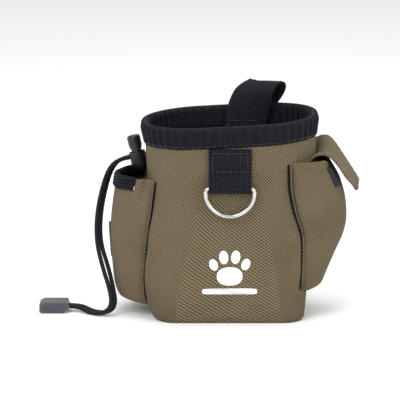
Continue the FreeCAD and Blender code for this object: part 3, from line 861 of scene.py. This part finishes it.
def rear_loop():
    """Webbing over the rim: its high bow leans right and turns, as a soft tape does."""
    leg_low = 0.118              # lower end of the leg inside the mouth
    straight_low, sewn_high, sewn_low = 0.092, 0.074, 0.0602
    bend_radius = 0.014
    wall_gap = 0.0003
    shift_right = 0.0160
    turn_at_top = math.radians(45)
    pinch_at_top = 0.62
    width = loop_high.x - loop_low.x
    centre_x = (loop_low.x + loop_high.x) / 2 - 0.002
    inside_y = loop_low.y + webbing_thick / 2
    outside_y = loop_high.y - webbing_thick / 2
    middle_y = (inside_y + outside_y) / 2
    half_turn = (outside_y - inside_y) / 2 - arc_slack
    on_wall = webbing_thick / 2 + wall_gap
    low_y = wall_depth_y(0.060) + on_wall
    mid_y = wall_depth_y(sewn_high) + on_wall
    top = loop_high.z - webbing_thick / 2 - 0.0018
    points = [(inside_y, leg_low), (inside_y, top), (outside_y, top), (outside_y, straight_low),
              (mid_y, sewn_high), (low_y, sewn_low)]
    points = [Vector((centre_x, y, z)) for y, z in points]
    path = rounded_path(points, [half_turn, half_turn, bend_radius, bend_radius], 0.0004)

    def lean(z):
        return clamp((z - leg_low) / 0.039) ** 2

    def sag(point, place):
        """The left edge droops behind the bow's ridge."""
        behind = smooth((point.y - middle_y + 0.002) / 0.008)
        return lean(point.z) * (0.08 * -place + 0.42 * max(-place, 0.0) * behind)

    def across(point):
        angle = turn_at_top * lean(point.z)
        return Vector((math.cos(angle), -math.sin(angle), 0))

    for point in path:
        share = lean(point.z)
        angle = turn_at_top * share
        away = (point.y - middle_y) * lerp(1.0, pinch_at_top, share)
        point.x += shift_right * share + away * math.sin(angle)
        point.y = middle_y + away * math.cos(angle)

    ribbed_strap("belt_loop", path, across, width, 0.0018, 0.6, "rear_loop", sag)
    stitch_half = width / 2 - 0.003
    stitched_box("loop_stitch_low", centre_x, stitch_half, 0.0625, 0.0715,
                 lambda z: wall_depth_y(z) + webbing_thick + wall_gap)
    stitched_box("loop_stitch_inside", centre_x, stitch_half, 0.1205, 0.1285,
                 lambda z: inside_y - webbing_thick / 2)


# ---- pockets ----

pocket_levels = {-1: left_levels, 1: right_levels}


def section_point(side, turn, height, out=0.0):
    """Point on a pocket's outer face: turn runs from -1 at the front seam to 1 at the rear seam."""
    reach, front, rear, squareness = through(pocket_levels[side], height)
    if side > 0 and turn < 0:
        squareness *= right_front_roundness
    angle = turn * math.pi / 2
    power = 2 / squareness
    depth = abs(math.cos(angle)) ** power
    half = front if turn < 0 else rear
    y = (half + out) * math.copysign(abs(math.sin(angle)) ** power, angle)
    wall = abs(wall_x(side, y, height))
    return Vector((side * (wall + (reach + out - wall) * depth), y, height))


def pocket_rows(side, fold, rows_up=60, columns=96):
    """Rows from the closed bottom to the open mouth; the gussets fold in near the mouth."""
    levels = pocket_levels[side]
    bottom, top = levels[0][0], levels[-1][0]
    round_height = 0.0048
    crowding = 0.8               # brings the columns closer together at the seams
    rumple_height = 0.0012
    places = [math.copysign(abs(place) ** crowding, place) for place in spaced(-1.0, 1.0, columns)]
    rows = []
    for share in steps(9):
        angle = math.pi / 2 * share
        height = bottom + round_height * (1 - math.cos(angle))
        row = []
        for place in places:
            point = section_point(side, place, height)
            wall = wall_x(side, point.y, height)
            row.append(Vector((lerp(wall, point.x, math.sin(angle)), point.y, height)))
        rows.append(row)
    for share in steps(rows_up)[1:]:
        row = []
        for place in places:
            lift = right_front_lift * smooth((-place - 0.2) / 0.35) if side > 0 else 0.0
            height = lerp(bottom + round_height, top + lift, share)
            point = section_point(side, place, height)
            near_seam = smooth((1 - abs(place)) / 0.08)
            rumple = rumple_height * noise.noise(Vector((point.x * 45, point.y * 45, point.z * 22)))
            point += Vector((side, math.copysign(0.6, place), 0)) * rumple * near_seam
            dent = fold * smooth((share - 0.72) / 0.28) * math.exp(-((abs(place) - 0.86) / 0.07) ** 2)
            point.y -= math.copysign(dent, place)
            row.append(point)
        rows.append(row)
    return rows


def pocket_piece(name, side, fold, node_name):
    """Soft open pocket, the standing seams on both its sides, and black strips of painted shade beside them."""
    rows = pocket_rows(side, fold)
    if side < 0:
        rows = [row[::-1] for row in rows]
    piece = grid_piece(name, rows, "outer_fabric", round_columns=False)
    if side < 0:
        cut_slot(piece)
    thicken(piece, cloth_thick)
    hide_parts(node_name)
    for label, seam in (("front", -1), ("rear", 1)):
        seam_welt(name + "_welt_" + label, side, seam, 0.0026, 0.0, "outer_fabric")
        # A thin black strip beside each welt stands in for the shadow in the seam: painted shade.
        seam_welt(name + "_shade_strip_" + label, side, seam, 0.0019, 0.0009, "black_lining")


def cut_slot(piece):
    """Open the left pocket's outer face behind its slot trim."""
    low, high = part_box("slot_trim")
    lip = 0.0030
    depth = 0.010
    shape = bmesh.new()
    shape.from_mesh(piece.data)
    inside = []
    for face in shape.faces:
        middle = face.calc_center_median()
        across = low.y + lip < middle.y < high.y - lip
        along = low.z + lip < middle.z < high.z - lip
        if across and along and middle.x < low.x + depth:
            inside.append(face)
    bmesh.ops.delete(shape, geom=inside, context="FACES")
    shape.to_mesh(piece.data)
    shape.free()


def seam_welt(name, side, seam, stand, beside, slot):
    """Edge that stands up in a pocket's front (-1) or rear (1) seam, where it meets the wall; also the black strip
    of painted shade that stands beside it.
    """
    levels = pocket_levels[side]
    bottom, top = levels[0][0], levels[-1][0]
    if side > 0 and seam < 0:
        top += right_front_lift
    upright = 0.80
    leaning = math.sqrt(1 - upright ** 2)
    half_thick = 0.0006
    root_depth = 0.0004          # below the wall's face, and beside the pocket's
    nudge = 0.0005               # half the step over which the wall's slope is taken
    rows = []
    for share in steps(80):
        height = lerp(bottom + 0.001, top - 0.0005, share)
        _, front, rear, _ = through(levels, height)
        y = seam * ((front if seam < 0 else rear) + root_depth + beside)
        slope = (wall_x(side, y + nudge, height) - wall_x(side, y - nudge, height)) / (2 * nudge)
        away = Vector((side, -slope * side, 0)).normalized()
        onward = Vector((-away.y, away.x, 0)) * seam * side
        out = away * upright + onward * leaning
        ends = smooth(share / 0.03) * smooth((1 - share) / 0.03)
        lift = stand * (1 + 0.10 * math.sin(share * 31)) * ends + root_depth
        middle = Vector((wall_x(side, y, height), y, height)) + out * (lift / 2 - root_depth)
        across = Vector((out.y, -out.x, 0)) * half_thick
        rows.append(ring_round(middle, out * lift / 2, across, 1.0, 10))
    grid_piece(name, rows, slot)


def left_pocket():
    pocket_piece("side_pocket_left", -1, 0.0035, "left_pocket")
    pocket_band()


def pocket_band():
    """Ribbed elastic tape folded over the left pocket's mouth, round its outer and rear sides."""
    top = left_levels[-1][0]
    height = 0.0085
    front_end, rear_end = -0.68, 0.97
    ribs, rib_height, proud = 4, 0.00040, 0.0011
    inside_low = -0.0080
    profile = [(0.0004, -height)]
    for share in steps(41):
        profile.append((proud - rib_height * math.cos(2 * math.pi * ribs * share), -height * (1 - share)))
    profile += [(0.0006, 0.0007), (-0.0006, 0.0010), (-0.0018, 0.0007), (-0.0022, 0.0),
                (-0.0022, inside_low), (-0.0013, inside_low), (-0.0013, -0.0002), (0.0002, -0.0002)]
    rows = []
    for share in steps(120):
        row = []
        for out, rise in profile:
            point = section_point(-1, lerp(front_end, rear_end, share), min(top + rise, top), out)
            point.z = top + rise + 0.0003 * math.sin(share * 19)
            row.append(point)
        rows.append(row)
    piece = grid_piece("side_pocket_left_band", rows, "black_webbing")
    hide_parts("left_pocket_binding")
    line = [section_point(-1, front_end, top - height * drop, 0.0012) for drop in spaced(0.55, 1.0, 30)]
    stitches("side_pocket_left_tack", line, white_thread, "outer_fabric")


def right_pocket():
    pocket_piece("side_pocket_right", 1, 0.0015, "right_pocket")
    loop_patch()


def loop_patch():
    """Loop tape on the right pocket's outer face, its edges sewn down; it reaches wider than the tape, and that
    extra black stands in for the shadow under the flap: partly painted shade.
    """
    # Wider than the real tape: the extra black is painted shade under the flap.
    low, high = 0.0935, 0.1078
    front_end, rear_end = -0.48, 0.60
    proud, sunk = 0.0010, 0.0002
    rows = []
    for share in steps(24):
        row = []
        for place in steps(40):
            edge = min(place, 1 - place, share, 1 - share)
            out = proud * min(edge / 0.05, 1.0) ** 0.5 - sunk
            row.append(section_point(1, lerp(front_end, rear_end, place), lerp(low, high, share), out))
        rows.append(row)
    patch = grid_piece("loop_patch", rows, "hook_tape", round_columns=False)
    thicken(patch, 0.0008)
    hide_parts("pocket_loop_patch")


# ---- pocket flap ----

flap_line = [(0.0592, 0.1115), (0.0612, 0.1163), (0.0655, 0.1193), (0.0708, 0.1180), (0.0760, 0.1122),
             (0.0806, 0.1055), (0.0857, 0.0980), (0.0903, 0.0908), (0.0932, 0.0864)]
flap_reach = 7.3          # places along the line to the tip's middle
flap_skew = 0.6           # more at the rear corner and less at the front one
flap_twist = 0.0030         # rise of the rear corner, and fall of the front one
flap_length = 0.050
flap_hem = 0.0025           # from the stitches to the edges


def flap_at(share, across):
    """Point on the flap's upper face: share 0 at the sewn edge and 1 at the tip, across -1 to 1."""
    narrowing, curl, wave_height = 0.0040, 0.0012, 0.0007
    corner_lift = 0.0035         # of the front corner of the tip
    sewn_height = flap_line[0][1]
    place = share * (flap_reach + flap_skew * across)
    index = min(int(place), len(flap_line) - 2)
    nearby = [at(flap_line, index + step) for step in (-1, 0, 1, 2)]
    x, z = (eased(*values, 0.5, 0.5, place - index) for values in zip(*nearby))
    y = across * (flap_half - narrowing * smooth((share - 0.88) / 0.12) ** 2)
    root = 1 - smooth(share / 0.34)
    x += (wall_x(1, y, sewn_height) - wall_x(1, 0, sewn_height)) * root
    z += wave_height * math.sin(across * 2.4 + 0.5) * smooth(share * 3)
    z -= curl * abs(across) ** 3 * smooth(share)
    z += flap_twist * across * smooth((share - 0.12) / 0.40)
    z += corner_lift * max(-across, 0.0) * smooth((share - 0.70) / 0.30)
    return Vector((x, y, z))


def flap_normal(share, across):
    step = 0.004
    along = flap_at(min(share + step, 1), across) - flap_at(max(share - step, 0), across)
    sideways = flap_at(share, min(across + step, 1)) - flap_at(share, max(across - step, -1))
    return along.cross(sideways).normalized()


def flap_rows(count, columns):
    """Rows down the flap, each over its upper face and back across its underside."""
    thick, edge_roll = 0.0019, 0.0011
    pinch_depth, pinch_width = 0.00030, 0.0006
    rows = []
    for share in steps(count):
        upper, lower = [], []
        for across in spaced(-1.0, 1.0, columns):
            point = flap_at(share, across)
            normal = flap_normal(share, across)
            edge = min((1 - abs(across)) * flap_half, (1 - share) * flap_length)
            plump = math.sqrt(min(edge / edge_roll, 1.0))
            pinch = pinch_depth * math.exp(-((edge - flap_hem) / pinch_width) ** 2)
            half = thick / 2 * lerp(0.25, 1.0, plump) - pinch
            rumple = noise.noise(point * 60) * 0.0005 * smooth(share * 3)
            middle = point + normal * (rumple - thick / 2)
            upper.append(middle + normal * half)
            lower.append(middle - normal * half)
        rows.append(upper + lower[::-1])
    tip = [(above + below) / 2 for above, below in zip(rows[-1], rows[-1][::-1])]
    return rows + [tip]


def pocket_flap():
    """Doubled cloth, olive above and black below, turned at its edges and stitched inside them."""
    count, columns = 90, 72
    olive_edge = 4               # columns and rows of the underside that stay olive
    piece = grid_piece("flap", flap_rows(count, columns), "outer_fabric", body="flap")
    piece.data.materials.append(looks["black_lining"])
    for face in piece.data.polygons:
        row, column = divmod(face.index, 2 * columns)
        under = columns + olive_edge <= column < 2 * columns - olive_edge
        if under and row < count - 2 * olive_edge:
            face.material_index = 1
    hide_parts("pocket_flap")
    bend_flap(piece)
    start, end = 0.10, 1 - flap_hem / flap_length
    side = 1 - flap_hem / flap_half
    line = [flap_at(share, -side) for share in spaced(start, end, 60)]
    line += [flap_at(end, across) for across in spaced(-side, side, 60)]
    line += [flap_at(share, side) for share in spaced(end, start, 60)]
    bend_flap(stitches("flap_stitch", line, olive_thread, "outer_fabric", body="flap"))


def bend_flap(piece):
    """Take a piece off its body and bake its placement into its mesh."""
    piece.parent = None
    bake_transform(piece)


# ---- cords ----

def route_line(points):
    """Centre line of a cord: the smooth spline that its route's points control."""
    curve = bpy.data.curves.new("route", "CURVE")
    curve.dimensions = "3D"
    curve.resolution_u = 24
    spline = curve.splines.new("NURBS")
    spline.points.add(len(points) - 1)
    for spot, point in zip(spline.points, points):
        spot.co = (*point, 1.0)
    spline.order_u = 3
    spline.use_endpoint_u = True
    holder = add_object("route", curve)
    bpy.context.view_layer.update()
    mesh = bpy.data.meshes.new_from_object(holder.evaluated_get(bpy.context.evaluated_depsgraph_get()))
    line = [vertex.co.copy() for vertex in mesh.vertices]
    bpy.data.objects.remove(holder)
    bpy.data.meshes.remove(mesh)
    return resampled(line, 0.0004)


def braided_cord(name, points, node_name):
    """Cord: a tube round its line, its skin raised where braided strands cross over."""
    line = route_line(points)
    sides, strands = 24, 4
    pitch = 0.0060
    relief = 0.00013
    rows = []
    side = (line[1] - line[0]).orthogonal().normalized()
    travelled = 0.0
    for index, point in enumerate(line):
        before, after = at(line, index - 1), at(line, index + 1)
        heading = (after - before).normalized()
        side = (side - heading * side.dot(heading)).normalized()
        other = heading.cross(side)
        travelled += (point - before).length
        lay = math.pi * strands * travelled / pitch
        row = []
        for angle in circle(sides):
            raised = max(math.cos(strands * angle + lay), math.cos(strands * angle - lay))
            radius = cord_radius + relief * (raised - 0.5)
            row.append(point + (side * math.cos(angle) + other * math.sin(angle)) * radius)
        rows.append(row)
    rows = [pinched(rows[0], 0.3)] + rows + [pinched(rows[-1], 0.3)]
    piece = grid_piece(name, rows, "braided_cord")
    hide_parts(node_name)


# ---- cord lock spring ----

def lock_spring():
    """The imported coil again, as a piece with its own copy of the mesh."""
    joint = next(joint for joint in frame["joints"] if joint["name"] == "lock_press")
    up = -Vector(joint["axis"])
    piece = finish_piece("lock_spring", frame["nodes"]["cord_lock_spring"].data.copy(), "spring_metal")
    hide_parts("cord_lock_spring")
    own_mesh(piece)


# ---- clip detail ----

def clip_ribs():
    """Fine grip ribs moulded on the clip's front and back faces, shorter at its rounded corners."""
    low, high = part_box("cord_clip_upper")
    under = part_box("cord_clip_lower")[0]
    ribs, rings, sides = 8, 9, 8
    radius = 0.00032
    edge, corner = 0.0009, 0.0020
    end_margin, slope_height, slope = 0.0012, 0.0040, 1.15
    depth_way, height_way = Vector((0, 1, 0)), Vector((0, 0, 1))
    for label, y in (("front", low.y), ("back", high.y)):
        vertices, faces = [], []
        for z in spaced(under.z + edge, high.z - edge, ribs):
            inset = 0.0014 + max(z - high.z + corner, 0) + max(under.z + corner - z, 0)
            start = low.x + inset
            end = high.x - end_margin - max(slope_height - z, 0) * slope
            faces += rod_faces(len(vertices), rings, sides)
            for share in steps(rings):
                swell = radius * math.sqrt(max(1 - (2 * share - 1) ** 8, 0.05))
                centre = Vector((lerp(start, end, share), y, z))
                vertices += ring_round(centre, depth_way, height_way, swell, sides)
        mesh = bpy.data.meshes.new("cord_clip_ribs_" + label)
        mesh.from_pydata(vertices, [], faces)
        finish_piece("cord_clip_ribs_" + label, mesh, "clip_plastic")


# ---- print ----

def on_front(x, z, lift):
    """Point of the bag's front at one place, with its stand-off, found by halving a stretch of the wall."""
    reach = 0.12                 # of the way round, to either side of the front's middle
    share = z / rim_height
    low, high = (-reach, 0.0) if x < wall_point(0, share).x else (0.0, reach)
    for _ in range(24):
        middle = (low + high) / 2
        if wall_point(middle, share).x < x:
            low = middle
        else:
            high = middle
    turn = low % 1.0
    return wall_point(turn, share, slack(turn, share) + lift)


def printed_oval(centre_x, centre_z, half_x, half_z, lean, squareness=2.0):
    """Rings of one printed shape, from its edge on the cloth to its middle, a print's thickness above."""
    spokes, rings = 48, 9
    ink = 0.00012
    power = 2 / squareness
    rows = []
    for share in steps(rings):
        scale = max(1 - share, 0.02)
        row = []
        for angle in circle(spokes):
            cosine, sine = math.cos(angle), math.sin(angle)
            u = math.copysign(abs(cosine) ** power, cosine) * half_x * scale
            v = math.copysign(abs(sine) ** power, sine) * half_z * scale
            x = centre_x + u * math.cos(lean) - v * math.sin(lean)
            z = centre_z + u * math.sin(lean) + v * math.cos(lean)
            row.append(on_front(x, z, ink if share else 0.0))
        rows.append(row)
    return rows


def print_mark():
    """Plain paw over a plain bar, in white."""
    centre_x, centre_z = 0.0, 0.0385
    shapes = {
        "print_paw_pad": (centre_x, centre_z - 0.0042, 0.0088, 0.0066, 0.0, 2.3),
        "print_toe_1": (centre_x - 0.0110, centre_z + 0.0042, 0.0029, 0.0042, 0.35, 2.0),
        "print_toe_2": (centre_x - 0.0041, centre_z + 0.0094, 0.0031, 0.0048, 0.10, 2.0),
        "print_toe_3": (centre_x + 0.0041, centre_z + 0.0094, 0.0031, 0.0048, -0.10, 2.0),
        "print_toe_4": (centre_x + 0.0110, centre_z + 0.0042, 0.0029, 0.0042, -0.35, 2.0),
        "print_bar": (centre_x, centre_z - 0.0150, 0.0188, 0.0021, 0.0, 6.0),
    }
    for name, shape in shapes.items():
        grid_piece(name, printed_oval(*shape), "outer_fabric", material=white_print)


# ---- CAD pieces that keep their shape ----

def dress_frame():
    """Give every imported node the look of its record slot."""
    for row in frame["record"]["subparts"]:
        piece = frame["nodes"][row["node"]]
        piece.data.materials.clear()
        piece.data.materials.append(looks[row["material_slot"]])


# ---- room ----

def add_floor():
    """Pale floor that curves up behind into a backdrop."""
    material, _, shader = new_material("floor_look", 0.9)
    shader.inputs["Base Color"].default_value = (0.93, 0.93, 0.93, 1.0)
    half, front, back, bend, top = 3.0, -3.0, 2.0, 0.8, 3.0
    rows = [[Vector((x, y, 0)) for x in (-half, half)] for y in (front, back)]
    for share in steps(13)[1:]:
        angle = share * math.pi / 2
        y, z = back + bend * math.sin(angle), bend * (1 - math.cos(angle))
        rows.append([Vector((x, y, z)) for x in (-half, half)])
    rows.append([Vector((x, back + bend, top)) for x in (-half, half)])
    mesh = grid_mesh("floor", rows)
    mesh.materials.append(material)
    shade_smooth(mesh)
    floor = add_object("floor", mesh)


def add_light(name, place, size, power, target=(0, 0, 0.07)):
    data = bpy.data.lights.new(name, "AREA")
    data.size = size
    data.energy = power
    light = add_object(name, data)
    light.location = place
    light.rotation_euler = (Vector(target) - Vector(place)).to_track_quat("-Z", "Y").to_euler()


def add_lights():
    """Soft white studio: an even surround, a large top light and two front fills."""
    world = bpy.data.worlds.new("surround")
    world.use_nodes = True
    background = world.node_tree.nodes["Background"]
    background.inputs["Color"].default_value = (1, 1, 1, 1)
    background.inputs["Strength"].default_value = 0.75
    bpy.context.scene.world = world
    add_light("key", (-0.7, -1.1, 1.1), 0.9, 14.0)
    add_light("fill", (0.9, -1.0, 0.7), 0.9, 8.0)
    add_light("top", (0.1, 0.2, 1.4), 1.0, 9.0)
    bpy.context.scene.view_settings.view_transform = "Standard"


# ---- the pouch ----

add_camera()
braided_cord("cord_strand_a", strand_a_points, "drawcord_strand_a")
braided_cord("cord_strand_b", strand_b_points, "drawcord_strand_b")
dress_frame()
lock_spring()
clip_ribs()
bag_body()
bag_base()
bag_lining()
rim_binding()
collar()
front_tab()
rear_loop()
left_pocket()
right_pocket()
pocket_flap()
print_mark()
add_floor()
add_lights()
